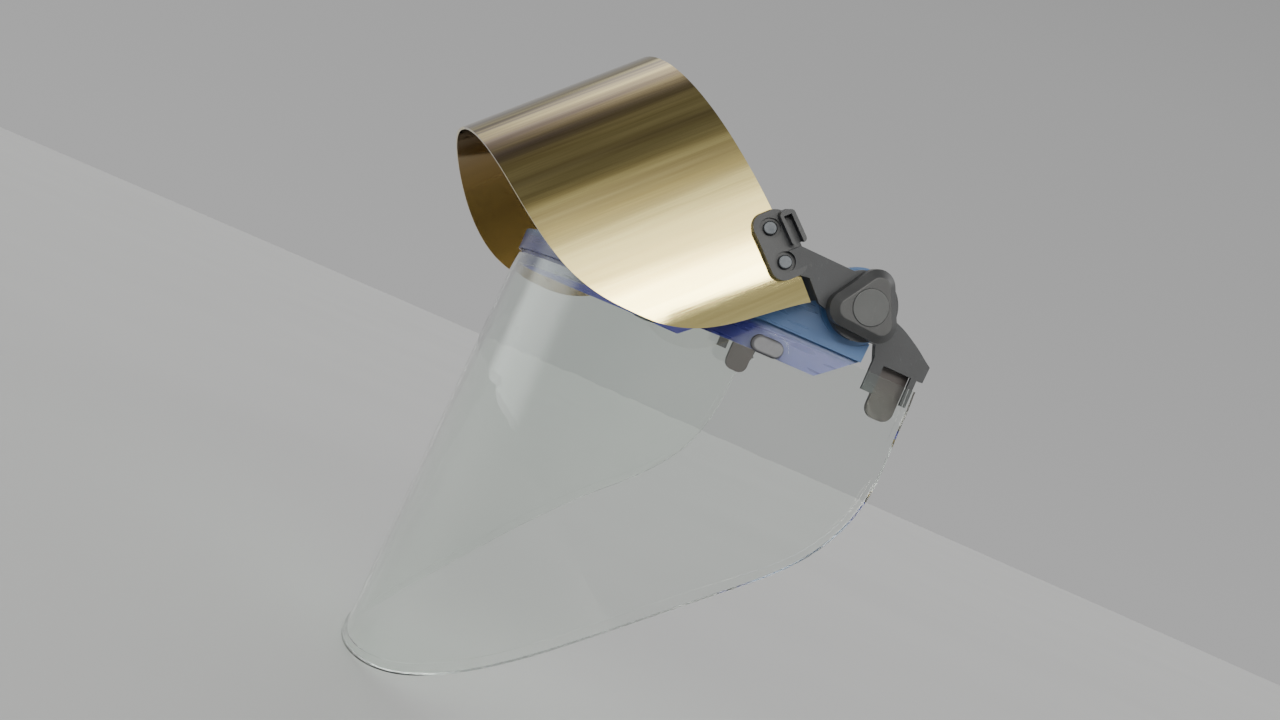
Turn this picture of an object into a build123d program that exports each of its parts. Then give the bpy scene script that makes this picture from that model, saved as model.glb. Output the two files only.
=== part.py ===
from build123d import *
import math
import os

# Face shield for a slotted safety hat. Millimetres, wearer looks along -Y, +Z up, +X is the wearer's left.
# The origin is midway between the two hat blades, level with the brackets' lower edges.

# pivot axis, shared by the tilt of the shield and the flip of the gold visor
PIVOT_Y = -30.2
PIVOT_Z = 17.6
GOLD_RAISED_DEG = 44.66

# clear visor: inner face is a half superellipse at VISOR_TOP_Z that flares downwards from a far apex
VISOR_HALF_WIDTH = 123.8
VISOR_DEPTH = 149.8
VISOR_EXPONENT = 2.14
VISOR_CENTRE_Y = 4.5
VISOR_TOP_Z = -5.0
VISOR_FRONT_DIP = 8.7
VISOR_FLAT_SHARE = 0.576
VISOR_THICKNESS = 1.5
VISOR_DROP = 203.0
VISOR_REAR = 1.8
FLARE_APEX_Y = -122.3
FLARE_APEX_HEIGHT = 1174.0
REAR_EXTENSION = 6.0
RIM_WIDTH = 3.0
RIM_EXTRA = 0.7

# lower edge of the clear visor in side view: share of the depth ahead of the rear edge, share of the drop
VISOR_EDGE = (
    (0.000, 0.044),
    (0.004, 0.123),
    (0.012, 0.220),
    (0.051, 0.313),
    (0.124, 0.398),
    (0.288, 0.518),
    (0.563, 0.716),
    (0.863, 0.926),
    (0.960, 0.974),
    (1.060, 1.000),
)

# upper edge of the clear visor from the front to where it runs level: share of that run, share of the dip
VISOR_TOP_EDGE = ((0.15, 0.02), (0.50, 0.48), (0.85, 0.96))

# share of the depth, from the rear edge, over which the lower rim grows to its full width
RIM_FADE = 0.25

# crown
SHEET_GAP = 0.3
CROWN_WALL = 2.5
BAND_PROUD = 0.4
STEP_RISE = 1.9
FLANGE_DROP = 10.7
FLANGE_FRONT_DROP = 13.2
CROWN_FRONT_RISE = 11.5
CROWN_SIDE_RISE = 18.0
CROWN_END_Y = -19.0
CROWN_END_SLANT = 0.8
LIP_WIDTH = 6.0
LIP_THICKNESS = 2.2
LIP_END_GAP = 4.0
EAR_RADIUS = 15.5
EAR_ROOM_INSIDE = 3.0
EAR_ROOM_OUTSIDE = 1.0

# crown's edges in side view, from the front backwards: share of the depth, share of the rise
CROWN_TOP_EDGE = ((0.15, 0.03), (0.33, 0.32), (0.52, 0.82))
CROWN_LEVEL_SHARE = 0.68
FLANGE_EDGE = ((0.27, 0.48), (0.53, 1.00))
FLANGE_PAST_STUD = (10.0, 21.8)

# oblong studs that hold the clear visor on the crown's flange
STUD_Y = -56.6
STUD_Z = -12.4
STUD_LENGTH = 14.0
STUD_HEIGHT = 7.4
STUD_SHANK_LENGTH = 9.0
STUD_SHANK_HEIGHT = 3.6
STUD_HEAD_THICKNESS = 2.2
STUD_HOLE_CLEARANCE = 0.3
STUD_EDGE_RADIUS = 0.7
STUD_RING_MARGIN = 3.0
STUD_RING_WIDTH = 0.8
STUD_RING_HEIGHT = 0.5
RETAINER_LENGTH = 13.0
RETAINER_HEIGHT = 7.0
RETAINER_THICKNESS = 1.2
RETAINER_FIT = 0.05

# gold visor, dimensioned in its lowered position
GOLD_CLEARANCE = 3.4
GOLD_HALF_WIDTH = VISOR_HALF_WIDTH + GOLD_CLEARANCE
GOLD_DEPTH = 112.6
GOLD_EXPONENT = 2.06
GOLD_CENTRE_Y = -39.7
GOLD_TOP_Z = -1.8
GOLD_HEIGHT = 90.0
GOLD_THICKNESS = 1.2

# lower edge of the gold visor in side view: share of the depth ahead of its rear end, share of the height
GOLD_EDGE = (
    (0.000, 0.000),
    (0.025, 0.241),
    (0.067, 0.517),
    (0.134, 0.667),
    (0.200, 0.753),
    (0.298, 0.858),
    (0.408, 0.934),
    (0.510, 0.971),
    (0.618, 0.990),
    (0.833, 0.996),
    (1.100, 1.000),
)

# lift arms, dimensioned in the lowered position from the pivot
ARM_THICKNESS = 3.0
ARM_HUB_RADIUS = 14.5
PLATE_REAR = -21.6
PLATE_FRONT = -49.4
PLATE_TOP = -15.3
PLATE_BOTTOM = -30.6
PLATE_CORNER = 5.5
HOOK_FRONT = -47.4
HOOK_REAR = -33.6
HOOK_TOP = -13.1
HOOK_HEIGHT = 6.4
HOOK_REACH = 4.0
HOOK_WALL = 1.7
HOOK_FLOOR = 1.3
HOOK_OPEN_END = 5.0
WEB_TOP_CORNER = (-11.0, 5.0)
WEB_FRONT = -32.3
WEB_NECK_TOP = -15.9
WEB_LOW = -17.1
WEB_LOW_REAR = -8.0
WEB_REAR_CORNER = (3.0, -10.0)
NECK_LOW = -22.0
NECK_REAR = -23.0
NECK_SLOPE = 4.0
RIB_FRONT = -27.0
RIB_REAR = -9.5
RIB_DRAFT = 1.5
RIB_HEIGHT = 2.4
RIVET_OFFSETS = (-41.7, -27.9)
RIVET_DROP = -24.15
RIVET_HEAD_RADIUS = 2.9
RIVET_SHANK_RADIUS = 1.6
RIVET_HOLE_CLEARANCE = 0.15
RIVET_SEAT_RADIUS = 4.3
RIVET_SEAT_DEPTH = 0.9
RIVET_HEAD_HEIGHT = 1.5
RIVET_HEAD_EDGE = 0.6
RIVET_TAIL_HEIGHT = 0.9
BACKING_THICKNESS = 1.2
BACKING_MARGIN = 4.6
BACKING_CORNER = 4.4

# pivot stack: x of each face, as distances from the clear visor's half width, listed outwards
SCREW_HEAD_INNER_X = VISOR_HALF_WIDTH - 14.9
BOLT_HEAD_INNER_X = VISOR_HALF_WIDTH - 14.2
BLADE_INNER_X = VISOR_HALF_WIDTH - 13.1
BLADE_OUTER_X = VISOR_HALF_WIDTH - 10.6
PANEL_INNER_X = VISOR_HALF_WIDTH - 10.3
LEG_INNER_X = VISOR_HALF_WIDTH - 8.1
SCREW_END_X = VISOR_HALF_WIDTH - 7.4
PANEL_OUTER_X = VISOR_HALF_WIDTH - 6.4
WASHER_INNER_X = VISOR_HALF_WIDTH - 6.15
WASHER_OUTER_X = VISOR_HALF_WIDTH - 5.25
EAR_INNER_X = VISOR_HALF_WIDTH - 5.0
BASE_INNER_X = VISOR_HALF_WIDTH - 4.8
EAR_OUTER_X = VISOR_HALF_WIDTH - 1.0
RIB_INNER_X = VISOR_HALF_WIDTH - 0.2
BASE_FLANGE_INNER_X = VISOR_HALF_WIDTH - 0.7
BASE_OUTER_X = VISOR_HALF_WIDTH + 0.7
SPRING_INNER_X = VISOR_HALF_WIDTH + 0.95
ARM_HUB_INNER_X = VISOR_HALF_WIDTH + 2.5
ARM_WEB_INNER_X = VISOR_HALF_WIDTH + 3.8
NECK_INNER_X = VISOR_HALF_WIDTH + 5.4
ARM_WEB_OUTER_X = VISOR_HALF_WIDTH + 7.0
KNOB_INNER_X = VISOR_HALF_WIDTH + 7.3
NUT_INNER_X = VISOR_HALF_WIDTH + 8.8
NUT_OUTER_X = VISOR_HALF_WIDTH + 12.6
BOLT_END_X = VISOR_HALF_WIDTH + 12.4
KNOB_OUTER_X = VISOR_HALF_WIDTH + 15.2
INSIDE_X = VISOR_HALF_WIDTH - 30.0
OUTSIDE_X = VISOR_HALF_WIDTH + 40.0

# pivot fittings
BOLT_RADIUS = 4.0
BOLT_CLEARANCE = 0.08
BOLT_HEAD_HALF = 6.6
BOLT_HEAD_CORNER = 1.2
WASHER_RADIUS = 11.0
BASE_SLEEVE_RADIUS = 6.4
BASE_FLANGE_RADIUS = 13.6
SPRING_INNER_RADIUS = 5.2
SPRING_OUTER_RADIUS = 11.5
SPRING_THICKNESS = 0.7
SPRING_CONE = 0.6
SEAT_GAP = 0.1

# knobs
KNOB_SIDES = 3
KNOB_REACH = 16.0
KNOB_CORNER_RADIUS = 7.4
KNOB_FIRST_CORNER_DEG = 87.0
KNOB_BEVEL = 3.2
KNOB_EDGE = 0.8
CAP_RADIUS = 7.6
CAP_THICKNESS = 1.8
CAP_PROUD = 0.4
CAP_EDGE = 0.35
NUT_SIDES = 6
NUT_ACROSS_FLATS = 13.0

# temple brackets and hat blades, on the inner side of the crown
BRACKET_HUB_RADIUS = 13.0
BRACKET_FRONT_Y = -11.9
BRACKET_STEP = (-14.5, 6.5)
BRACKET_NECK = (-25.0, 5.4)
TAIL_BASE_Y = 11.0
FIN_BACK = ((11.3, 7.1), (7.9, 9.2), (3.8, 11.9), (-0.8, 14.5), (-5.7, 16.9), (-10.3, 18.5), (-19.0, 21.0))
LEG_BOTTOM_Z = -12.4
FRONT_LEG = (-12.7, -7.5)
REAR_LEG = (5.5, 8.2)
LEG_TOP_OVERLAP = 3.0
BLADE_HALF_WIDTH = 6.2
BLADE_BOTTOM_Z = -21.6
BLADE_TOP_Z = 9.4
BLADE_TIP_RADIUS = 4.8
BLADE_TOP_RADIUS = 1.2
SCREW_Z = 4.6
SCREW_RADIUS = 1.5
SCREW_HEAD_RADIUS = 2.9
SCREW_HEAD_EDGE = 0.6
SCREW_SLOT_WIDTH = 0.8
SCREW_SLOT_DEPTH = 0.7
SCREW_SLOT_LENGTH = 4.4
FIT_GAP = 0.3

# drawing aids: steps along a plan curve, angles, and how far blanks and cutters reach past what they make
PLAN_STEPS = 14
SEARCH_STEPS = 900
QUARTER_TURN = 90.0
FULL_TURN = 360.0
SIDE_REACH = 170.0
BLANK_MARGIN = 20.0
BLANK_TOP = 6.0
ARM_BLANK = 40.0
OVERLAP = 1.0
PIVOT_AXIS = Axis((0, PIVOT_Y, PIVOT_Z), (-1, 0, 0))


def plan_point(half_width, depth, exponent, centre_y, angle, offset):
    """Point of a half superellipse, moved along its outward normal; angle 0 is the front, 90 the +X side."""
    power = 2.0 / exponent
    sine = abs(math.sin(math.radians(angle)))
    cosine = max(math.cos(math.radians(angle)), 0.0)
    side = 1.0 if angle >= 0 else -1.0
    x = half_width * sine ** power
    y = depth * cosine ** power
    normal_x = (x / half_width) ** (exponent - 1) / half_width
    normal_y = (y / depth) ** (exponent - 1) / depth
    length = math.hypot(normal_x, normal_y)
    return (
        side * (x + offset * normal_x / length),
        centre_y - y - offset * normal_y / length,
    )


def plan_angle(shape, y, offset):
    """Angle at which a plan curve reaches a given y on the +X side."""
    angles = [QUARTER_TURN * step / SEARCH_STEPS for step in range(SEARCH_STEPS + 1)]
    return min(angles, key=lambda angle: abs(plan_point(*shape, angle, offset)[1] - y))


def plan_edges(shape, offset, z, scale=1.0, scale_y=0.0):
    """Front curve with a straight piece at each rear end, as three edges from -X round to +X."""
    half_width, depth, exponent, centre_y = shape
    angles = [QUARTER_TURN * step / PLAN_STEPS for step in range(-PLAN_STEPS, PLAN_STEPS + 1)]
    points = []
    for angle in angles:
        x, y = plan_point(half_width, depth, exponent, centre_y, angle, offset)
        points.append((x * scale, scale_y + (y - scale_y) * scale, z))
    first = (points[0][0], points[0][1] + REAR_EXTENSION, z)
    last = (points[-1][0], points[-1][1] + REAR_EXTENSION, z)
    ends = [Vector(0, -1, 0), Vector(0, 1, 0)]
    curve = Edge.make_spline([Vector(*point) for point in points], tangents=ends, scale=False)
    return Edge.make_line(first, points[0]), curve, Edge.make_line(points[-1], last), first, last


def plan_face(shape, inner, outer, z, scale=1.0, scale_y=0.0):
    """Flat strip between two offsets of a plan curve."""
    in_a, in_curve, in_b, in_first, in_last = plan_edges(shape, inner, z, scale, scale_y)
    out_a, out_curve, out_b, out_first, out_last = plan_edges(shape, outer, z, scale, scale_y)
    caps = [Edge.make_line(in_last, out_last), Edge.make_line(in_first, out_first)]
    wires = Wire.combine([in_a, in_curve, in_b, out_a, out_curve, out_b] + caps)
    return Face(wires[0])


def straight_wall(shape, inner, outer, low_z, high_z):
    """Upright wall between two offsets of a plan curve."""
    return Solid.extrude(plan_face(shape, inner, outer, low_z), Vector(0, 0, high_z - low_z))


def flared_wall(inner, outer, low_z, high_z):
    """Wall of the clear visor's cone between two offsets and two heights."""
    faces = []
    for z in (low_z, high_z):
        scale = (FLARE_APEX_HEIGHT - (z - VISOR_TOP_Z)) / FLARE_APEX_HEIGHT
        faces.append(plan_face(VISOR_PLAN, inner, outer, z, scale, FLARE_APEX_Y))
    return Solid.make_loft([face.outer_wire() for face in faces], ruled=True)


def smooth_face(runs, x):
    """Face across X whose outline joins several (y, z) runs; runs over two points are smooth."""
    edges = []
    for run in runs:
        points = [Vector(x, y, z) for y, z in run]
        if len(points) == 2:
            edges.append(Edge.make_line(points[0], points[1]))
        else:
            edges.append(Edge.make_spline(points))
    return Face(Wire.combine(edges)[0])


def side_spline_solid(runs):
    """Prism along X right across the part, with a (y, z) outline made of several runs."""
    return Solid.extrude(smooth_face(runs, -SIDE_REACH), Vector(2 * SIDE_REACH, 0, 0))


def side_plate(points, low_x, high_x, corner):
    """Plate across X between two x values with a rounded outline given as (y, z) points."""
    outline = Wire.make_polygon([Vector(low_x, y, z) for y, z in points], close=True)
    if corner > 0:
        outline = outline.fillet_2d(corner, outline.vertices())
    return Solid.extrude(Face(outline), Vector(high_x - low_x, 0, 0))


def x_cylinder(y, z, radius, low_x, high_x):
    """Round bar along X."""
    plane = Plane(origin=(low_x, y, z), z_dir=(1, 0, 0))
    return Solid.make_cylinder(radius, high_x - low_x, plane)


def pivot_bar(radius, low_x, high_x):
    """Round bar on the pivot axis."""
    return x_cylinder(PIVOT_Y, PIVOT_Z, radius, low_x, high_x)


def bolt_bore():
    """Cutter for the pivot bolt's hole on the +X side."""
    return pivot_bar(BOLT_RADIUS + BOLT_CLEARANCE, INSIDE_X, OUTSIDE_X)


def mirrored(shape):
    """The same piece on the wearer's other side."""
    return shape.mirror(Plane.YZ)


def raised(shape):
    """Turn a piece of the gold visor from the lowered position to the stored one."""
    return shape.rotate(PIVOT_AXIS, GOLD_RAISED_DEG)


VISOR_PLAN = (VISOR_HALF_WIDTH, VISOR_DEPTH, VISOR_EXPONENT, VISOR_CENTRE_Y)
GOLD_PLAN = (GOLD_HALF_WIDTH, GOLD_DEPTH, GOLD_EXPONENT, GOLD_CENTRE_Y)
FRONT_Y = VISOR_CENTRE_Y - VISOR_DEPTH
FLAT_START_Y = FRONT_Y + VISOR_FLAT_SHARE * VISOR_DEPTH
BEYOND_FRONT_Y = FRONT_Y - 30.0


def step_line(rise):
    """Side view of the clear visor's upper edge, from the front backwards, lifted by rise."""
    low = VISOR_TOP_Z - VISOR_FRONT_DIP + rise
    high = VISOR_TOP_Z + rise
    run = FLAT_START_Y - FRONT_Y
    line = [(BEYOND_FRONT_Y, low), (FRONT_Y, low)]
    for back, up in VISOR_TOP_EDGE:
        line.append((FRONT_Y + back * run, low + up * VISOR_FRONT_DIP))
    return line + [(FLAT_START_Y, high), (VISOR_CENTRE_Y + REAR_EXTENSION, high)]


def visor_outline(inset, raise_top=0.0):
    """Side view of the clear visor as a prism, drawn in from the lower and rear edges by inset."""
    rear = VISOR_CENTRE_Y + VISOR_REAR - inset
    top = step_line(raise_top)
    top[-1] = (rear, VISOR_TOP_Z + raise_top)
    reach = VISOR_DEPTH + VISOR_REAR
    lower_edge = []
    for forward, down in VISOR_EDGE:
        lift = inset * min(1.0, forward / RIM_FADE)
        lower_edge.append((rear - forward * reach, VISOR_TOP_Z - down * VISOR_DROP + lift))
    base = lower_edge[-1][1]
    runs = [top[0:2], top[1:6], top[5:7], [top[-1], lower_edge[0]], lower_edge]
    runs += [[lower_edge[-1], (BEYOND_FRONT_Y, base)], [(BEYOND_FRONT_Y, base), top[0]]]
    return side_spline_solid(runs)


def stud_plane(side=1.0):
    """Plane on the clear visor's inner face at a stud, looking outwards."""
    best = plan_angle(VISOR_PLAN, STUD_Y, 0.0)
    scale = (FLARE_APEX_HEIGHT - (STUD_Z - VISOR_TOP_Z)) / FLARE_APEX_HEIGHT
    near = plan_point(*VISOR_PLAN, best, 0.0)
    far = plan_point(*VISOR_PLAN, best, 1.0)
    origin = (side * near[0] * scale, FLARE_APEX_Y + (near[1] - FLARE_APEX_Y) * scale, STUD_Z)
    normal = Vector(side * (far[0] - near[0]), far[1] - near[1], 0)
    along = normal.cross(Vector(0, 0, 1))
    return Plane(origin=origin, x_dir=along, z_dir=normal)


def oblong(plane, length, height, low, high):
    """Bar with round ends, drawn on a plane between two heights above it."""
    sketch = plane * SlotOverall(length, height)
    return Solid.extrude(sketch.face().moved(Location(plane.z_dir * low)), plane.z_dir * (high - low))


def stud_slot(side):
    """Cutter for the slot a stud's shank passes through."""
    length = STUD_SHANK_LENGTH + 2 * STUD_HOLE_CLEARANCE
    height = STUD_SHANK_HEIGHT + 2 * STUD_HOLE_CLEARANCE
    return oblong(stud_plane(side), length, height, -2 * CROWN_WALL, 4 * VISOR_THICKNESS)


def stud_ring(side):
    """Raised oblong ring on the clear visor around a stud's head."""
    plane = stud_plane(side)
    length = STUD_LENGTH + 2 * STUD_RING_MARGIN
    height = STUD_HEIGHT + 2 * STUD_RING_MARGIN
    top = VISOR_THICKNESS + STUD_RING_HEIGHT
    ring = oblong(plane, length, height, VISOR_THICKNESS / 2, top)
    hollow = oblong(plane, length - 2 * STUD_RING_WIDTH, height - 2 * STUD_RING_WIDTH, 0.0, 2 * top)
    return ring - hollow


def clear_visor():
    """Large clear sheet with a thicker rim and a slot for each stud."""
    low = VISOR_TOP_Z - VISOR_DROP - BLANK_MARGIN
    high = VISOR_TOP_Z + BLANK_TOP
    full = VISOR_THICKNESS + RIM_EXTRA
    visor = flared_wall(0.0, full, low, high)
    for side in (1.0, -1.0):
        visor = visor - stud_slot(side)
    visor = visor & visor_outline(0.0)
    relief = flared_wall(VISOR_THICKNESS, 2 * full, low, high + BLANK_TOP)
    visor = visor - (relief & visor_outline(RIM_WIDTH, BLANK_TOP - OVERLAP))
    for side in (1.0, -1.0):
        visor = visor + stud_ring(side)
    return visor


def crown_top_line(drop):
    """Side view of the crown's upper edge, from the front backwards, lowered by drop."""
    front = VISOR_TOP_Z - VISOR_FRONT_DIP + CROWN_FRONT_RISE - drop
    side = VISOR_TOP_Z + CROWN_SIDE_RISE - drop
    line = [(BEYOND_FRONT_Y, front), (FRONT_Y, front)]
    for back, up in CROWN_TOP_EDGE:
        line.append((FRONT_Y + back * VISOR_DEPTH, front + up * (side - front)))
    return line + [(FRONT_Y + CROWN_LEVEL_SHARE * VISOR_DEPTH, side), (CROWN_END_Y, side)]


def flange_line():
    """Side view of the flange's lower edge, from the front backwards, rising at the rear."""
    low = VISOR_TOP_Z - FLANGE_DROP
    front = VISOR_TOP_Z - FLANGE_FRONT_DROP
    line = [(BEYOND_FRONT_Y, front), (FRONT_Y, front)]
    for back, up in FLANGE_EDGE:
        line.append((FRONT_Y + back * VISOR_DEPTH, front + up * (low - front)))
    for distance in FLANGE_PAST_STUD:
        line.append((STUD_Y + distance, low))
    return line + [(CROWN_END_Y - CROWN_END_SLANT, VISOR_TOP_Z + STEP_RISE)]


def region_between(low, high):
    """Prism between two side-view lines of seven points each, smooth where both lines are."""
    runs = [low[0:2], low[1:5], low[4:6], low[5:7], [low[6], high[6]]]
    runs += [high[5:7], high[4:6], high[1:5], high[0:2], [high[0], low[0]]]
    return side_spline_solid(runs)


def between(side, first, second):
    """The two x values in rising order on the given side."""
    return sorted((side * first, side * second))


def crown_shell():
    """Band above the clear visor, flange behind it, inward lip and a pivot ear on each side."""
    step = step_line(STEP_RISE)
    step[-1] = (CROWN_END_Y - CROWN_END_SLANT, step[-1][1])
    top = crown_top_line(0.0)
    outer = VISOR_THICKNESS + BAND_PROUD
    inner = -SHEET_GAP - CROWN_WALL
    low_z = VISOR_TOP_Z - 2 * FLANGE_DROP
    high_z = VISOR_TOP_Z + 2 * CROWN_SIDE_RISE
    band = straight_wall(VISOR_PLAN, inner, outer, low_z, high_z) & region_between(step, top)
    flange_top = step_line(STEP_RISE + OVERLAP)
    flange_top[-1] = (CROWN_END_Y - CROWN_END_SLANT, flange_top[-1][1])
    flange = flared_wall(inner, -SHEET_GAP, low_z, high_z) & region_between(flange_line(), flange_top)
    lip = straight_wall(VISOR_PLAN, inner - LIP_WIDTH, inner + OVERLAP, low_z, high_z)
    lip = lip & region_between(crown_top_line(LIP_THICKNESS), top)
    lip_end = PIVOT_Y - EAR_RADIUS - LIP_END_GAP
    keep = Solid.make_box(2 * SIDE_REACH, lip_end - BEYOND_FRONT_Y, high_z - low_z)
    lip = lip & keep.moved(Location((-SIDE_REACH, BEYOND_FRONT_Y, low_z)))
    shell = band + flange + lip
    for side in (1.0, -1.0):
        shell = shell + pivot_bar(EAR_RADIUS, *between(side, EAR_INNER_X, EAR_OUTER_X))
        inner_space = between(side, INSIDE_X, EAR_INNER_X)
        outer_space = between(side, EAR_OUTER_X, OUTSIDE_X)
        bore = between(side, INSIDE_X, OUTSIDE_X)
        shell = shell - pivot_bar(EAR_RADIUS + EAR_ROOM_INSIDE, *inner_space)
        shell = shell - pivot_bar(EAR_RADIUS + EAR_ROOM_OUTSIDE, *outer_space)
        shell = shell - pivot_bar(BASE_SLEEVE_RADIUS + SEAT_GAP, *bore)
        shell = shell - stud_slot(side)
    return shell


def far_face(shape, plane):
    """The face of a shape that lies furthest out along a plane's normal."""
    return shape.faces().sort_by(lambda face: (face.center() - plane.origin).dot(plane.z_dir))[-1]


def visor_stud(side):
    """Oblong button outside the clear visor with a shank through visor and flange."""
    plane = stud_plane(side)
    low = VISOR_THICKNESS + SHEET_GAP
    head = oblong(plane, STUD_LENGTH, STUD_HEIGHT, low, low + STUD_HEAD_THICKNESS)
    head = head.fillet(STUD_EDGE_RADIUS, far_face(head, plane).edges())
    end = -3 * SHEET_GAP - CROWN_WALL - RETAINER_THICKNESS
    return head + oblong(plane, STUD_SHANK_LENGTH, STUD_SHANK_HEIGHT, end, low)


def stud_retainer(side):
    """Snap plate on the stud's inner end, against the flange."""
    plane = stud_plane(side)
    high = -2.5 * SHEET_GAP - CROWN_WALL
    low = high - RETAINER_THICKNESS
    plate = oblong(plane, RETAINER_LENGTH, RETAINER_HEIGHT, low, high)
    length = STUD_SHANK_LENGTH + 2 * RETAINER_FIT
    height = STUD_SHANK_HEIGHT + 2 * RETAINER_FIT
    return plate - oblong(plane, length, height, low - OVERLAP, high + OVERLAP)


def gold_outline():
    """Side view of the lowered gold visor: straight upper edge, lower edge rounded at its ends."""
    curve = []
    for forward, down in GOLD_EDGE:
        curve.append((GOLD_CENTRE_Y - forward * GOLD_DEPTH, GOLD_TOP_Z - down * GOLD_HEIGHT))
    front, low = curve[-1]
    return side_spline_solid([curve, [(front, low), (front, GOLD_TOP_Z)], [(front, GOLD_TOP_Z), curve[0]]])


def gold_visor():
    """Curved gold-coated sheet with a hole for each rivet."""
    low = GOLD_TOP_Z - GOLD_HEIGHT - BLANK_MARGIN
    sheet = straight_wall(GOLD_PLAN, 0.0, GOLD_THICKNESS, low, GOLD_TOP_Z + BLANK_TOP) & gold_outline()
    for side in (1.0, -1.0):
        for offset in RIVET_OFFSETS:
            sheet = sheet - rivet_hole(offset, side)
    return raised(sheet)


def gold_surface_x(y, offset):
    """The x of the gold visor's wall at a given y."""
    return plan_point(*GOLD_PLAN, plan_angle(GOLD_PLAN, y, offset), offset)[0]


def rivet_plane(offset, side=1.0):
    """Plane on the lowered gold visor's inner face at a rivet, looking outwards."""
    y = PIVOT_Y + offset
    half_step = 2.0
    rise = gold_surface_x(y + half_step, 0.0) - gold_surface_x(y - half_step, 0.0)
    normal = Vector(side, -rise / (2 * half_step), 0)
    return Plane(origin=(side * gold_surface_x(y, 0.0), y, PIVOT_Z + RIVET_DROP), z_dir=normal)


def rivet_hole(offset, side=1.0):
    """Cutter for a rivet's hole through sheet, arm and backing plate."""
    plane = rivet_plane(offset, side).offset(-5 * BACKING_THICKNESS)
    return Solid.make_cylinder(RIVET_SHANK_RADIUS + RIVET_HOLE_CLEARANCE, 6 * ARM_THICKNESS, plane)


def from_pivot(points):
    """Side-view points measured from the pivot axis."""
    return [(PIVOT_Y + y, PIVOT_Z + z) for y, z in points]


def gold_layer(inner, outer):
    """Wall beside the gold visor, tall enough to cut the arm's pieces from."""
    return straight_wall(GOLD_PLAN, inner, outer, GOLD_TOP_Z - ARM_BLANK, GOLD_TOP_Z + ARM_BLANK)


def arm_hook(inner, outer):
    """Finger hook along the rivet plate's upper edge, with a groove open to the rear."""
    low = HOOK_TOP - HOOK_HEIGHT
    block = from_pivot([(HOOK_FRONT, low), (HOOK_REAR, low), (HOOK_REAR, HOOK_TOP), (HOOK_FRONT, HOOK_TOP)])
    hook = gold_layer(inner, outer + HOOK_REACH) & side_plate(block, INSIDE_X, OUTSIDE_X, HOOK_WALL)
    front = HOOK_FRONT + HOOK_WALL
    rear = HOOK_REAR + HOOK_OPEN_END
    top = HOOK_TOP - HOOK_WALL
    floor = low + HOOK_FLOOR
    groove = from_pivot([(front, floor), (rear, floor), (rear, top), (front, top)])
    space = gold_layer(outer, outer + 3 * HOOK_REACH)
    return hook - (space & side_plate(groove, INSIDE_X, OUTSIDE_X, 0.0))


def arm_web():
    """Flat web between rivet plate and hub, with a neck and an inward rib along its lower edge."""
    front_top = (WEB_FRONT, WEB_NECK_TOP)
    outline = [WEB_TOP_CORNER, front_top, (WEB_FRONT, WEB_LOW), (WEB_LOW_REAR, WEB_LOW), WEB_REAR_CORNER]
    web = side_plate(from_pivot(outline), ARM_WEB_INNER_X, ARM_WEB_OUTER_X, 0.0)
    neck = [front_top, (WEB_FRONT, NECK_LOW), (NECK_REAR, NECK_LOW), (NECK_REAR + NECK_SLOPE, WEB_LOW)]
    web = web + side_plate(from_pivot(neck), NECK_INNER_X, ARM_WEB_OUTER_X, 0.0)
    low = PIVOT_Z + WEB_LOW
    section = [
        (ARM_WEB_OUTER_X, low),
        (RIB_INNER_X, low - RIB_DRAFT),
        (RIB_INNER_X, low - RIB_DRAFT + RIB_HEIGHT),
        (ARM_WEB_OUTER_X, low + RIB_HEIGHT),
    ]
    rib = Face(Wire.make_polygon([Vector(x, PIVOT_Y + RIB_FRONT, z) for x, z in section], close=True))
    return web + Solid.extrude(rib, Vector(0, RIB_REAR - RIB_FRONT, 0))


def lift_arm():
    """Arm on the wearer's left: rivet plate, finger hook, web and hub."""
    inner = GOLD_THICKNESS + SHEET_GAP
    outer = inner + ARM_THICKNESS
    lower = [(PLATE_FRONT, PLATE_BOTTOM), (PLATE_REAR, PLATE_BOTTOM)]
    upper = [(PLATE_REAR, PLATE_TOP), (PLATE_FRONT, PLATE_TOP)]
    outline = side_plate(from_pivot(lower + upper), INSIDE_X, OUTSIDE_X, PLATE_CORNER)
    plate = gold_layer(inner, outer) & outline
    hub = pivot_bar(ARM_HUB_RADIUS, ARM_HUB_INNER_X, ARM_WEB_OUTER_X)
    arm = plate + arm_hook(inner, outer) + arm_web() + hub - bolt_bore()
    for offset in RIVET_OFFSETS:
        seat_plane = rivet_plane(offset).offset(outer - RIVET_SEAT_DEPTH)
        arm = arm - Solid.make_cylinder(RIVET_SEAT_RADIUS, 2 * ARM_THICKNESS, seat_plane)
        arm = arm - rivet_hole(offset)
    return raised(arm)


def arm_rivet(offset, side):
    """Rivet with a domed head outside and a flat formed head inside."""
    plane = rivet_plane(offset, side)
    seat = GOLD_THICKNESS + SHEET_GAP + ARM_THICKNESS - RIVET_SEAT_DEPTH + SEAT_GAP
    head = Solid.make_cylinder(RIVET_HEAD_RADIUS, RIVET_HEAD_HEIGHT, plane.offset(seat))
    head = head.fillet(RIVET_HEAD_EDGE, far_face(head, plane).edges())
    inside = -SHEET_GAP - BACKING_THICKNESS - FIT_GAP
    shank = Solid.make_cylinder(RIVET_SHANK_RADIUS, seat - inside, plane.offset(inside))
    tail = Solid.make_cylinder(RIVET_HEAD_RADIUS, RIVET_TAIL_HEIGHT, plane.offset(inside - RIVET_TAIL_HEIGHT))
    return raised(head + shank + tail)


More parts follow.
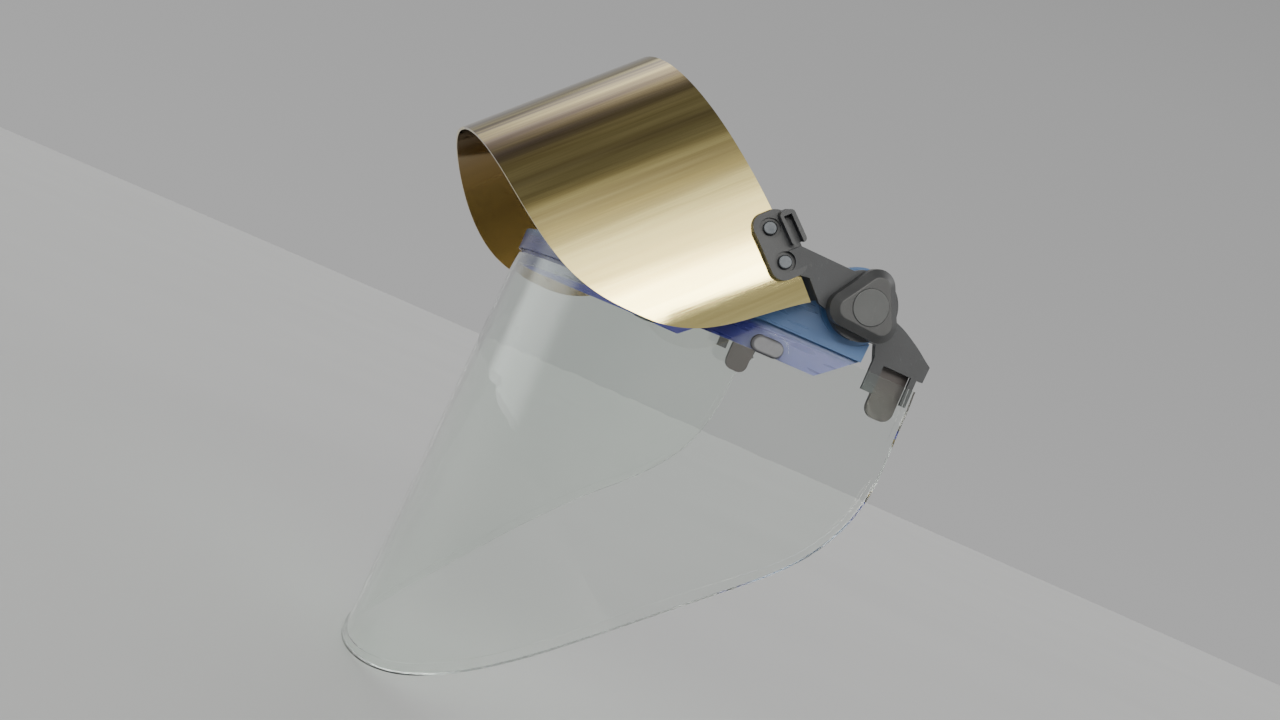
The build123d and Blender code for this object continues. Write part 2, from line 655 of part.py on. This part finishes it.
def backing_plate():
    """Thin oval plate inside the gold visor behind the rivets, wearer's left."""
    wall = gold_layer(-SHEET_GAP - BACKING_THICKNESS, -SHEET_GAP)
    front = RIVET_OFFSETS[0] - BACKING_MARGIN
    rear = RIVET_OFFSETS[1] + BACKING_MARGIN
    low = RIVET_DROP - BACKING_MARGIN
    high = RIVET_DROP + BACKING_MARGIN
    corners = from_pivot([(front, low), (rear, low), (rear, high), (front, high)])
    plate = wall & side_plate(corners, INSIDE_X, OUTSIDE_X, BACKING_CORNER)
    for offset in RIVET_OFFSETS:
        plate = plate - rivet_hole(offset)
    return raised(plate)


def temple_bracket():
    """Black bracket on the wearer's left: hub, tapering fin and two legs that straddle the hat slot."""
    centre = (PIVOT_Y, PIVOT_Z)
    base = [(BRACKET_FRONT_Y, 0.0), (TAIL_BASE_Y, 0.0)]
    runs = [base, [base[1], FIN_BACK[0]], FIN_BACK, [FIN_BACK[-1], centre]]
    runs += [[centre, BRACKET_NECK], [BRACKET_NECK, BRACKET_STEP], [BRACKET_STEP, base[0]]]
    fin = Solid.extrude(smooth_face(runs, PANEL_INNER_X), Vector(PANEL_OUTER_X - PANEL_INNER_X, 0, 0))
    bracket = fin + pivot_bar(BRACKET_HUB_RADIUS, PANEL_INNER_X, PANEL_OUTER_X)
    for front, rear in (FRONT_LEG, REAR_LEG):
        leg = Solid.make_box(PANEL_OUTER_X - LEG_INNER_X, rear - front, LEG_TOP_OVERLAP - LEG_BOTTOM_Z)
        bracket = bracket + leg.moved(Location((LEG_INNER_X, front, LEG_BOTTOM_Z)))
    screw_hole = x_cylinder(0.0, SCREW_Z, SCREW_RADIUS + SEAT_GAP, INSIDE_X, SCREW_END_X + FIT_GAP)
    return bracket - bolt_bore() - screw_hole


def hat_blade():
    """Flat tongue that drops into the hat's side slot, wearer's left."""
    half = BLADE_HALF_WIDTH
    points = [(-half, BLADE_BOTTOM_Z), (half, BLADE_BOTTOM_Z), (half, BLADE_TOP_Z), (-half, BLADE_TOP_Z)]
    outline = Wire.make_polygon([Vector(BLADE_INNER_X, y, z) for y, z in points], close=True)
    outline = outline.fillet_2d(BLADE_TIP_RADIUS, outline.vertices().sort_by(Axis.Z)[0:2])
    outline = outline.fillet_2d(BLADE_TOP_RADIUS, outline.vertices().sort_by(Axis.Z)[-2:])
    blade = Solid.extrude(Face(outline), Vector(BLADE_OUTER_X - BLADE_INNER_X, 0, 0))
    return blade - x_cylinder(0.0, SCREW_Z, SCREW_RADIUS + SEAT_GAP, INSIDE_X, OUTSIDE_X)


def blade_screw():
    """Pan-head screw through the blade into the bracket."""
    head = x_cylinder(0.0, SCREW_Z, SCREW_HEAD_RADIUS, SCREW_HEAD_INNER_X, BLADE_INNER_X - SEAT_GAP)
    head = head.fillet(SCREW_HEAD_EDGE, head.faces().sort_by(Axis.X)[0].edges())
    shank = x_cylinder(0.0, SCREW_Z, SCREW_RADIUS, BLADE_INNER_X - 2 * SEAT_GAP, SCREW_END_X)
    slot = Solid.make_box(2 * SCREW_SLOT_DEPTH, SCREW_SLOT_WIDTH, SCREW_SLOT_LENGTH)
    corner = (SCREW_HEAD_INNER_X - SCREW_SLOT_DEPTH, -SCREW_SLOT_WIDTH / 2, SCREW_Z - SCREW_SLOT_LENGTH / 2)
    return head + shank - slot.moved(Location(corner))


def pivot_bolt():
    """Bolt with a square head against the bracket's inner face, wearer's left."""
    length = PANEL_INNER_X - SEAT_GAP - BOLT_HEAD_INNER_X
    head = Solid.make_box(length, 2 * BOLT_HEAD_HALF, 2 * BOLT_HEAD_HALF)
    head = head.moved(Location((BOLT_HEAD_INNER_X, PIVOT_Y - BOLT_HEAD_HALF, PIVOT_Z - BOLT_HEAD_HALF)))
    head = head.fillet(BOLT_HEAD_CORNER, head.edges().filter_by(Axis.X))
    return head + pivot_bar(BOLT_RADIUS, PANEL_INNER_X - 2 * SEAT_GAP, BOLT_END_X)


def friction_washer():
    """Flat washer between bracket and crown ear."""
    return pivot_bar(WASHER_RADIUS, WASHER_INNER_X, WASHER_OUTER_X) - bolt_bore()


def pivot_base():
    """Black bush in the crown's ear with a flange towards the lift arm."""
    sleeve = pivot_bar(BASE_SLEEVE_RADIUS, BASE_INNER_X, BASE_OUTER_X)
    flange = pivot_bar(BASE_FLANGE_RADIUS, BASE_FLANGE_INNER_X, BASE_OUTER_X)
    return sleeve + flange - bolt_bore()


def disc_spring():
    """Coned spring washer between pivot base and lift arm."""
    low = SPRING_INNER_X
    points = [
        Vector(SPRING_INNER_RADIUS, 0, low + SPRING_CONE),
        Vector(SPRING_OUTER_RADIUS, 0, low),
        Vector(SPRING_OUTER_RADIUS, 0, low + SPRING_THICKNESS),
        Vector(SPRING_INNER_RADIUS, 0, low + SPRING_CONE + SPRING_THICKNESS),
    ]
    ring = Solid.revolve(Face(Wire.make_polygon(points, close=True)), FULL_TURN, Axis.Z)
    ring = ring.rotate(Axis.Y, QUARTER_TURN)
    return ring.moved(Location((0, PIVOT_Y, PIVOT_Z)))


def knob():
    """Three-cornered knob with bevelled front, pockets for the nut and the cap, wearer's left."""
    radius = KNOB_REACH - KNOB_CORNER_RADIUS
    hull = []
    for index in range(KNOB_SIDES):
        angle = math.radians(KNOB_FIRST_CORNER_DEG + index * FULL_TURN / KNOB_SIDES)
        hull.append((PIVOT_Y + radius * math.cos(angle), PIVOT_Z + radius * math.sin(angle)))
    core = Wire.make_polygon([Vector(KNOB_INNER_X, y, z) for y, z in hull], close=True)
    outline = core.offset_2d(KNOB_CORNER_RADIUS)
    body = Solid.extrude(Face(outline), Vector(KNOB_OUTER_X - KNOB_INNER_X, 0, 0))
    front = body.faces().sort_by(Axis.X)[-1]
    body = body.chamfer(KNOB_BEVEL, None, front.edges())
    body = body.fillet(KNOB_EDGE, body.faces().sort_by(Axis.X)[-1].edges())
    cap_floor = KNOB_OUTER_X + CAP_PROUD - CAP_THICKNESS - SEAT_GAP
    body = body - pivot_bar(CAP_RADIUS + SEAT_GAP, cap_floor, OUTSIDE_X)
    body = body - nut_prism(NUT_INNER_X - SEAT_GAP, cap_floor + SEAT_GAP, SEAT_GAP)
    return body - bolt_bore()


def nut_prism(low_x, high_x, grow):
    """Six-sided bar along the pivot axis."""
    half_side = FULL_TURN / NUT_SIDES / 2
    radius = (NUT_ACROSS_FLATS / 2 + grow) / math.cos(math.radians(half_side))
    points = []
    for index in range(NUT_SIDES):
        angle = math.radians(half_side + index * FULL_TURN / NUT_SIDES)
        points.append(Vector(low_x, PIVOT_Y + radius * math.cos(angle), PIVOT_Z + radius * math.sin(angle)))
    face = Face(Wire.make_polygon(points, close=True))
    return Solid.extrude(face, Vector(high_x - low_x, 0, 0))


def knob_nut():
    """Hexagon nut held in the knob."""
    return nut_prism(NUT_INNER_X, NUT_OUTER_X, 0.0) - bolt_bore()


def knob_cap():
    """Round cap that closes the knob."""
    low = KNOB_OUTER_X + CAP_PROUD - CAP_THICKNESS
    cap = pivot_bar(CAP_RADIUS, low, KNOB_OUTER_X + CAP_PROUD)
    return cap.fillet(CAP_EDGE, cap.faces().sort_by(Axis.X)[-1].edges())


def export(name, *shapes):
    """Write one node, as one solid or as a group of separate solids."""
    solids = []
    for shape in shapes:
        solids.extend(shape.solids())
    whole = solids[0] if len(solids) == 1 else Compound(children=solids)
    export_step(whole, os.path.join("parts", name + ".step"))


def build():
    """Make every node."""
    os.makedirs("parts", exist_ok=True)
    export("crown_shell", crown_shell())
    export("clear_visor", clear_visor())
    export("visor_studs", visor_stud(1.0), visor_stud(-1.0))
    export("stud_retainers", stud_retainer(1.0), stud_retainer(-1.0))
    export("gold_visor", gold_visor())
    rivets = [arm_rivet(offset, side) for side in (1.0, -1.0) for offset in RIVET_OFFSETS]
    export("arm_rivets", *rivets)
    handed = {
        "temple_bracket": temple_bracket(),
        "hat_blade": hat_blade(),
        "lift_arm": lift_arm(),
        "backing_plate": backing_plate(),
        "pivot_base": pivot_base(),
        "knob": knob(),
        "knob_nut": knob_nut(),
        "knob_cap": knob_cap(),
    }
    for name, shape in handed.items():
        export(name + "_left", shape)
        export(name + "_right", mirrored(shape))
    paired = {
        "pivot_bolts": pivot_bolt(),
        "blade_screws": blade_screw(),
        "friction_washers": friction_washer(),
        "disc_springs": disc_spring(),
    }
    for name, shape in paired.items():
        export(name, shape, mirrored(shape))


build()
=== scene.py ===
"""Face shield with a raised gold visor: finishes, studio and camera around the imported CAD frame."""

import math

import bpy
from mathutils import Matrix, Vector


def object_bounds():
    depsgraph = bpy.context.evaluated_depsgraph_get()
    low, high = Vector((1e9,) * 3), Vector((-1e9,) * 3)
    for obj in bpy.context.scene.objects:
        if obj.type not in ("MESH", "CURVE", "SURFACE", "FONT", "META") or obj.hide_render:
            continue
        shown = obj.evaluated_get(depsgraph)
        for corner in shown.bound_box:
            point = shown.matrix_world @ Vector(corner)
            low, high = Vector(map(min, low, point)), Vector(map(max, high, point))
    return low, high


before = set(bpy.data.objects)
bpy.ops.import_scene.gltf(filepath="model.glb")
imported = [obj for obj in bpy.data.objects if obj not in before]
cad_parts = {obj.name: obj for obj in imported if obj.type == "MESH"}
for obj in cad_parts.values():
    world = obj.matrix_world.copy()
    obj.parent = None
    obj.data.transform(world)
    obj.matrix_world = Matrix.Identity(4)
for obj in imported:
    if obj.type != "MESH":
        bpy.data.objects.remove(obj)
CAD_LOW, CAD_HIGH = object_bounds()

# Camera, in the part's frame
CAMERA_AT = Vector((0.8026, -0.2625, -0.0420))
CAMERA_AZIMUTH = 76.878
CAMERA_ELEVATION = -0.33
CAMERA_ROLL = 23.563
LENS_MM = 49.67
SENSOR_MM = 36.0

# The raised gold visor's straight lines lie along this tilt
GOLD_TILT = math.radians(44.66)
GOLD_AXIS_POINT = Vector((0.0, -0.0905, 0.0450))

# Studs on the clear visor
STUD_Y, STUD_Z = -0.0566, -0.0124

FLOOR_RADIUS = 9.0
FLOOR_GAP = 0.0004

# Studio light: brightness by elevation, then panels as azimuth, half width in degrees, tint, strength and profile
WORLD_STRENGTH = 1.0
SURROUND = ((-90.0, 0.36), (0.0, 0.47), (14.0, 0.40), (35.0, 0.22), (60.0, 0.14), (90.0, 0.12))
PANELS = (
    (94.0, 64.0, (1.0, 0.98, 0.91), 12.0, ((14.6, 0.0), (15.2, 1.0), (24.0, 0.85), (32.0, 0.2), (46.0, 0.05), (60.0, 0.0))),
    (48.0, 52.0, (1.0, 0.99, 0.96), 1.15, ((14.0, 0.0), (26.0, 0.7), (40.0, 1.0), (54.0, 0.35), (64.0, 0.0))),
    (-33.0, 24.0, (0.93, 1.0, 0.95), 2.0, ((-40.0, 0.0), (-15.0, 0.8), (10.0, 1.0), (26.0, 0.4), (44.0, 0.0))),
    (-105.0, 60.0, (1.0, 1.0, 1.0), 2.2, ((24.0, 0.0), (38.0, 1.0), (52.0, 0.7), (74.0, 0.0))),
    (175.0, 60.0, (1.0, 1.0, 1.0), 2.2, ((22.0, 0.0), (36.0, 1.0), (52.0, 0.7), (74.0, 0.0))),
)


# --- node helpers -----------------------------------------------------------------------------


def add(tree, kind, inputs=None, **settings):
    """Adds a node, sets its attributes, and links or sets its inputs by name or index."""
    made = tree.nodes.new(kind)
    for name, value in settings.items():
        setattr(made, name, value)
    for name, value in (inputs or {}).items():
        if isinstance(value, bpy.types.NodeSocket):
            tree.links.new(value, made.inputs[name])
        else:
            made.inputs[name].default_value = value
    return made


def colour(red, green, blue):
    """Linear colour from 0 to 255 display values."""
    def linear(value):
        value /= 255.0
        return value / 12.92 if value <= 0.04045 else ((value + 0.055) / 1.055) ** 2.4
    return (linear(red), linear(green), linear(blue), 1.0)


def object_coordinates(tree, scale=(1.0, 1.0, 1.0), rotation=(0.0, 0.0, 0.0)):
    place = add(tree, "ShaderNodeTexCoord")
    mapped = add(tree, "ShaderNodeMapping", {"Vector": place.outputs["Object"], "Scale": scale, "Rotation": rotation})
    return mapped.outputs["Vector"]


def noise(tree, vector, scale, detail=2.0, roughness=0.5):
    made = add(tree, "ShaderNodeTexNoise",
               {"Vector": vector, "Scale": scale, "Detail": detail, "Roughness": roughness})
    return made.outputs["Fac"]


def calculate(tree, operation, first, second=0.0, third=0.0, clamp=False):
    made = add(tree, "ShaderNodeMath", {0: first, 1: second, 2: third}, operation=operation, use_clamp=clamp)
    return made.outputs[0]


def vector_maths(tree, operation, first, second):
    made = add(tree, "ShaderNodeVectorMath", {0: first, 1: second}, operation=operation)
    return made.outputs["Value"] if operation in ("DOT_PRODUCT", "LENGTH") else made.outputs["Vector"]


def remap(tree, value, low, high, new_low=0.0, new_high=1.0):
    made = add(tree, "ShaderNodeMapRange",
               {"Value": value, "From Min": low, "From Max": high, "To Min": new_low, "To Max": new_high})
    return made.outputs["Result"]


def ramp(tree, value, stops):
    """Colour ramp through (position, colour) stops."""
    made = add(tree, "ShaderNodeValToRGB", {"Fac": value})
    elements = made.color_ramp.elements
    while len(elements) < len(stops):
        elements.new(0.5)
    for element, (position, tint) in zip(elements, stops):
        element.position = position
        element.color = tint
    return made.outputs["Color"]


def blend_colours(tree, factor, first, second, kind="MIX"):
    made = add(tree, "ShaderNodeMix", {0: factor, 6: first, 7: second}, data_type="RGBA", blend_type=kind)
    return made.outputs[2]


def bump(tree, height, strength, distance, normal=None):
    inputs = {"Height": height, "Strength": strength, "Distance": distance}
    if normal is not None:
        inputs["Normal"] = normal
    return add(tree, "ShaderNodeBump", inputs).outputs["Normal"]


def new_material(name):
    """Empty node tree with one Principled shader on the output."""
    material = bpy.data.materials.new(name)
    material.use_nodes = True
    tree = material.node_tree
    tree.nodes.clear()
    output = add(tree, "ShaderNodeOutputMaterial")
    shader = add(tree, "ShaderNodeBsdfPrincipled")
    tree.links.new(shader.outputs["BSDF"], output.inputs["Surface"])
    return material, tree, shader, output


def drive(tree, shader, **sockets):
    """Links or sets sockets of the shader. Underscores stand for spaces."""
    for name, value in sockets.items():
        socket = shader.inputs[name.replace("_", " ")]
        if isinstance(value, bpy.types.NodeSocket):
            tree.links.new(value, socket)
        else:
            socket.default_value = value


# --- finishes ---------------------------------------------------------------------------------


def gold_coating():
    """Vacuum-metallised gold sheet: painted reflection bands and fine streaks, partly real streaking and partly
    painted reflection, along its straight lines; darker inside.
    """
    material, tree, shader, _ = new_material("gold_coating")
    place = add(tree, "ShaderNodeTexCoord")
    turned = add(tree, "ShaderNodeVectorRotate",
                 {"Vector": place.outputs["Object"], "Center": GOLD_AXIS_POINT, "Axis": (1.0, 0.0, 0.0),
                  "Angle": GOLD_TILT}, rotation_type="AXIS_ANGLE").outputs["Vector"]
    across = add(tree, "ShaderNodeMapping", {"Vector": turned, "Scale": (1.0, 1.0, 0.035)}).outputs["Vector"]
    bands = noise(tree, across, 34.0, 3.0, 0.55)
    streaks = noise(tree, across, 210.0, 4.0, 0.6)
    hairlines = noise(tree, across, 1500.0, 2.0, 0.6)
    calm = ramp(tree, bands, [
        (0.30, colour(224, 204, 134)), (0.50, colour(242, 226, 156)), (0.70, colour(230, 211, 140))])
    # Painted reflection: dark brown and pale bands across the straight lines stand in for the studio reflected in the
    # sheet, used away from the sides
    painted_reflection_bands = ramp(tree, bands, [
        (0.34, colour(142, 122, 100)), (0.44, colour(206, 186, 124)), (0.52, colour(240, 221, 148)),
        (0.60, colour(160, 138, 108)), (0.70, colour(224, 203, 134))])
    sideways = add(tree, "ShaderNodeSeparateXYZ", {"Vector": turned}).outputs["X"]
    towards_side = remap(tree, calculate(tree, "ABSOLUTE", sideways), 0.070, 0.118)
    outside_tint = blend_colours(tree, towards_side, painted_reflection_bands, calm)
    # Fine streaks: partly real streaking in the coating, partly painted reflection
    streak_and_painted_reflection_tint = ramp(tree, streaks, [(0.36, colour(196, 188, 176)), (0.60, colour(255, 255, 255))])
    streak_share = remap(tree, towards_side, 0.0, 1.0, 0.85, 0.3)
    outside = blend_colours(tree, streak_share, outside_tint, streak_and_painted_reflection_tint, "MULTIPLY")
    inside = ramp(tree, bands, [(0.3, colour(96, 76, 40)), (0.7, colour(134, 108, 58))])
    away = vector_maths(tree, "SUBTRACT", place.outputs["Object"], GOLD_AXIS_POINT)
    facing = vector_maths(tree, "DOT_PRODUCT", place.outputs["Normal"], away)
    is_outside = remap(tree, facing, -0.002, 0.002)
    drive(tree, shader,
          Base_Color=blend_colours(tree, is_outside, inside, outside),
          Metallic=1.0,
          Roughness=remap(tree, streaks, 0.3, 0.7, 0.05, 0.11),
          Normal=bump(tree, hairlines, 0.05, 0.0002))
    return material


def clear_sheet():
    """Clear polycarbonate: faint grey-green, mottled very slightly, with a trace of haze."""
    material, tree, shader, output = new_material("clear_sheet")
    place = object_coordinates(tree)
    waves = noise(tree, place, 9.0, 2.0, 0.5)
    dust = noise(tree, place, 620.0, 3.0, 0.7)
    drive(tree, shader,
          Base_Color=ramp(tree, waves, [(0.3, colour(240, 246, 242)), (0.7, colour(247, 250, 247))]),
          Roughness=remap(tree, dust, 0.55, 0.8, 0.0, 0.06),
          IOR=1.12,
          Transmission_Weight=1.0,
          Coat_Weight=1.0,
          Coat_IOR=1.49,
          Coat_Roughness=0.0,
          Normal=bump(tree, dust, 0.02, 0.00005))
    through = add(tree, "ShaderNodeBsdfTransparent", {"Color": colour(236, 243, 238)})
    path = add(tree, "ShaderNodeLightPath")
    mixed = add(tree, "ShaderNodeMixShader",
                {0: path.outputs["Is Shadow Ray"], 1: shader.outputs["BSDF"], 2: through.outputs["BSDF"]})
    tree.links.new(mixed.outputs["Shader"], output.inputs["Surface"])
    return material


def crown_blue():
    """Translucent blue moulding, with painted light and shade by height: lighter blue on the top band, darker and
    more violet towards the bottom flange.
    """
    material, tree, shader, _ = new_material("crown_blue")
    place = add(tree, "ShaderNodeTexCoord").outputs["Object"]
    mottle = noise(tree, place, 26.0, 4.0, 0.6)
    grain = noise(tree, place, 1900.0, 2.0, 0.5)
    flow = noise(tree, object_coordinates(tree, (1.0, 1.0, 9.0)), 40.0, 2.0, 0.5)
    height = add(tree, "ShaderNodeSeparateXYZ", {"Vector": place}).outputs["Z"]
    # Painted light and shade: the top band is painted lighter, and the flange at the bottom, behind the clear visor,
    # darker and more violet
    lit_upper_blue = ramp(tree, mottle, [(0.3, colour(60, 94, 142)), (0.7, colour(76, 112, 160))])
    shaded_lower_blue = ramp(tree, mottle, [(0.3, colour(52, 52, 128)), (0.7, colour(62, 62, 142))])
    raised = remap(tree, height, -0.0060, -0.0030)
    drive(tree, shader,
          Base_Color=blend_colours(tree, raised, shaded_lower_blue, lit_upper_blue),
          Roughness=remap(tree, flow, 0.3, 0.7, 0.24, 0.36),
          IOR=1.5,
          Transmission_Weight=0.35,
          Coat_Weight=0.25,
          Coat_Roughness=0.2,
          Normal=bump(tree, grain, 0.08, 0.0002))
    return material


def moulded(name, dark, light, rough, grain_scale=1700.0, grain=0.25):
    """Matt moulded plastic with fine spark-eroded grain, soft mottling and a few rub marks."""
    material, tree, shader, _ = new_material(name)
    place = object_coordinates(tree)
    mottle = noise(tree, place, 55.0, 5.0, 0.6)
    fine = noise(tree, place, grain_scale, 3.0, 0.6)
    rubbed = noise(tree, object_coordinates(tree, (1.0, 3.0, 1.0), (0.3, 0.5, 0.2)), 190.0, 4.0, 0.75)
    body = ramp(tree, mottle, [(0.30, dark), (0.72, light)])
    scuffs = remap(tree, rubbed, 0.62, 0.78, 0.0, 0.22)
    worn = blend_colours(tree, scuffs, body, colour(120, 122, 124))
    patches = remap(tree, mottle, 0.3, 0.7, rough - 0.05, rough + 0.07)
    drive(tree, shader,
          Base_Color=worn,
          Roughness=calculate(tree, "SUBTRACT", patches, calculate(tree, "MULTIPLY", scuffs, 0.4)),
          Normal=bump(tree, fine, grain, 0.0002))
    return material


def stud_grey():
    """Oblong push stud: dark edge round a lighter face."""
    material, tree, shader, _ = new_material("stud_grey")
    place = add(tree, "ShaderNodeTexCoord").outputs["Object"]
    mottle = noise(tree, object_coordinates(tree), 120.0, 4.0, 0.6)
    fine = noise(tree, object_coordinates(tree), 2100.0, 2.0, 0.6)
    split = add(tree, "ShaderNodeSeparateXYZ", {"Vector": place})
    along = calculate(tree, "ABSOLUTE", calculate(tree, "SUBTRACT", split.outputs["Y"], STUD_Y))
    over = calculate(tree, "MAXIMUM", calculate(tree, "SUBTRACT", along, 0.0031), 0.0)
    up = calculate(tree, "SUBTRACT", split.outputs["Z"], STUD_Z)
    squares = calculate(tree, "ADD", calculate(tree, "MULTIPLY", over, over), calculate(tree, "MULTIPLY", up, up))
    edge = remap(tree, calculate(tree, "SQRT", squares), 0.0024, 0.0031)
    face = ramp(tree, mottle, [(0.3, colour(96, 97, 102)), (0.7, colour(116, 117, 121))])
    rim = ramp(tree, mottle, [(0.3, colour(38, 38, 44)), (0.7, colour(50, 50, 57))])
    drive(tree, shader,
          Base_Color=blend_colours(tree, edge, face, rim),
          Roughness=remap(tree, mottle, 0.3, 0.7, 0.38, 0.52),
          Normal=bump(tree, fine, 0.15, 0.0002))
    return material


def steel(name, dark, light, rough, metallic):
    """Plated or blackened steel with turning marks and light tarnish."""
    material, tree, shader, _ = new_material(name)
    place = object_coordinates(tree)
    tarnish = noise(tree, place, 240.0, 5.0, 0.65)
    turned = noise(tree, object_coordinates(tree, (9.0, 1.0, 1.0)), 900.0, 2.0, 0.5)
    drive(tree, shader,
          Base_Color=ramp(tree, tarnish, [(0.3, dark), (0.7, light)]),
          Metallic=metallic,
          Roughness=remap(tree, tarnish, 0.3, 0.7, rough - 0.06, rough + 0.08),
          Normal=bump(tree, turned, 0.12, 0.0002))
    return material


FINISHES = {
    "gold_coating": gold_coating(),
    "clear_sheet": clear_sheet(),
    "crown_blue": crown_blue(),
    "stud_grey": stud_grey(),
    "black_plastic": moulded("black_plastic", colour(34, 36, 40), colour(47, 49, 53), 0.52),
    "knob_plastic": moulded("knob_plastic", colour(42, 43, 45), colour(56, 57, 58), 0.46),
    "cap_plastic": moulded("cap_plastic", colour(54, 56, 57), colour(67, 69, 70), 0.42, 2400.0, 0.15),
    "blade_plastic": moulded("blade_plastic", colour(46, 41, 41), colour(60, 53, 52), 0.55),
    "washer_plastic": moulded("washer_plastic", colour(188, 184, 172), colour(208, 205, 195), 0.45),
    "rivet_steel": steel("rivet_steel", colour(50, 53, 57), colour(74, 77, 81), 0.36, 0.85),
    "zinc_steel": steel("zinc_steel", colour(150, 150, 146), colour(186, 186, 180), 0.30, 1.0),
}


def dress_cad_nodes():
    """Gives every CAD node the finish of its own material slot."""
    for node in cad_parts.values():
        for place in node.material_slots:
            place.material = FINISHES[place.material.name.split(".")[0]]


# --- studio -----------------------------------------------------------------------------------


def make_camera():
    azimuth, elevation = math.radians(CAMERA_AZIMUTH), math.radians(CAMERA_ELEVATION)
    back = Vector((math.sin(azimuth) * math.cos(elevation), -math.cos(azimuth) * math.cos(elevation),
                   math.sin(elevation)))
    level = Vector((math.cos(azimuth), math.sin(azimuth), 0.0))
    upright = back.cross(level)
    roll = math.radians(CAMERA_ROLL)
    right = math.cos(roll) * level + math.sin(roll) * upright
    up = -math.sin(roll) * level + math.cos(roll) * upright
    data = bpy.data.cameras.new("camera")
    data.lens = LENS_MM
    data.sensor_width = SENSOR_MM
    data.clip_start = 0.01
    data.clip_end = 60.0
    camera = bpy.data.objects.new("camera", data)
    camera.matrix_world = Matrix.Translation(CAMERA_AT) @ Matrix((right, up, back)).transposed().to_4x4()
    bpy.context.scene.collection.objects.link(camera)
    bpy.context.scene.camera = camera


def make_floor():
    """Pale matt floor, a wide ring of faces, touching the shield's lowest edge."""
    centre = (CAD_LOW + CAD_HIGH) / 2
    level = CAD_LOW.z - FLOOR_GAP
    steps = 96
    ring = [(centre.x + FLOOR_RADIUS * math.cos(math.tau * k / steps),
             centre.y + FLOOR_RADIUS * math.sin(math.tau * k / steps), level) for k in range(steps)]
    mesh = bpy.data.meshes.new("studio_floor")
    mesh.from_pydata(ring, [], [tuple(range(steps))])
    floor = bpy.data.objects.new("studio_floor", mesh)
    bpy.context.scene.collection.objects.link(floor)
    material, tree, shader, _ = new_material("studio_floor")
    place = object_coordinates(tree)
    cloud = noise(tree, place, 2.2, 3.0, 0.5)
    speck = noise(tree, place, 420.0, 2.0, 0.5)
    drive(tree, shader,
          Base_Color=ramp(tree, cloud, [(0.3, colour(169, 170, 171)), (0.7, colour(173, 174, 175))]),
          Roughness=0.5,
          Normal=bump(tree, speck, 0.05, 0.0005))
    mesh.materials.append(material)


def compass(azimuth):
    """Horizontal direction at an azimuth in degrees, 0 towards -Y and 90 towards +X."""
    return (math.sin(math.radians(azimuth)), -math.cos(math.radians(azimuth)), 0.0)


def height_of(elevation):
    """Place on a -1 to 1 height scale of an elevation in degrees, as a 0 to 1 ramp position."""
    return 0.5 + 0.5 * math.sin(math.radians(elevation))


def grey(level, tint=(1.0, 1.0, 1.0)):
    return (level * tint[0], level * tint[1], level * tint[2], 1.0)


def make_world():
    """Soft studio: a pale surround that dims overhead, with broad panels of light that fade at their edges."""
    world = bpy.data.worlds.new("studio")
    world.use_nodes = True
    tree = world.node_tree
    tree.nodes.clear()
    direction = add(tree, "ShaderNodeTexCoord").outputs["Generated"]
    rise = add(tree, "ShaderNodeSeparateXYZ", {"Vector": direction}).outputs["Z"]
    height = remap(tree, rise, -1.0, 1.0)
    flat = vector_maths(tree, "MULTIPLY", direction, (1.0, 1.0, 0.0))
    heading = add(tree, "ShaderNodeVectorMath", {0: flat}, operation="NORMALIZE").outputs["Vector"]
    light = ramp(tree, height, [(height_of(elevation), grey(level)) for elevation, level in SURROUND])
    for azimuth, half_width, tint, strength, profile in PANELS:
        towards = vector_maths(tree, "DOT_PRODUCT", heading, compass(azimuth))
        spread = add(tree, "ShaderNodeMapRange", {
            "Value": towards, "From Min": math.cos(math.radians(half_width)), "From Max": 1.0}, interpolation_type="SMOOTHERSTEP")
        stops = [(height_of(elevation), grey(level, tint)) for elevation, level in profile]
        strip = ramp(tree, height, stops)
        share = calculate(tree, "MULTIPLY", spread.outputs["Result"], strength)
        panel = add(tree, "ShaderNodeVectorMath", {0: strip, "Scale": share}, operation="SCALE").outputs["Vector"]
        light = vector_maths(tree, "ADD", light, panel)
    background = add(tree, "ShaderNodeBackground", {"Color": light, "Strength": WORLD_STRENGTH})
    output = add(tree, "ShaderNodeOutputWorld")
    tree.links.new(background.outputs["Background"], output.inputs["Surface"])
    bpy.context.scene.world = world


dress_cad_nodes()
make_camera()
make_floor()
make_world()
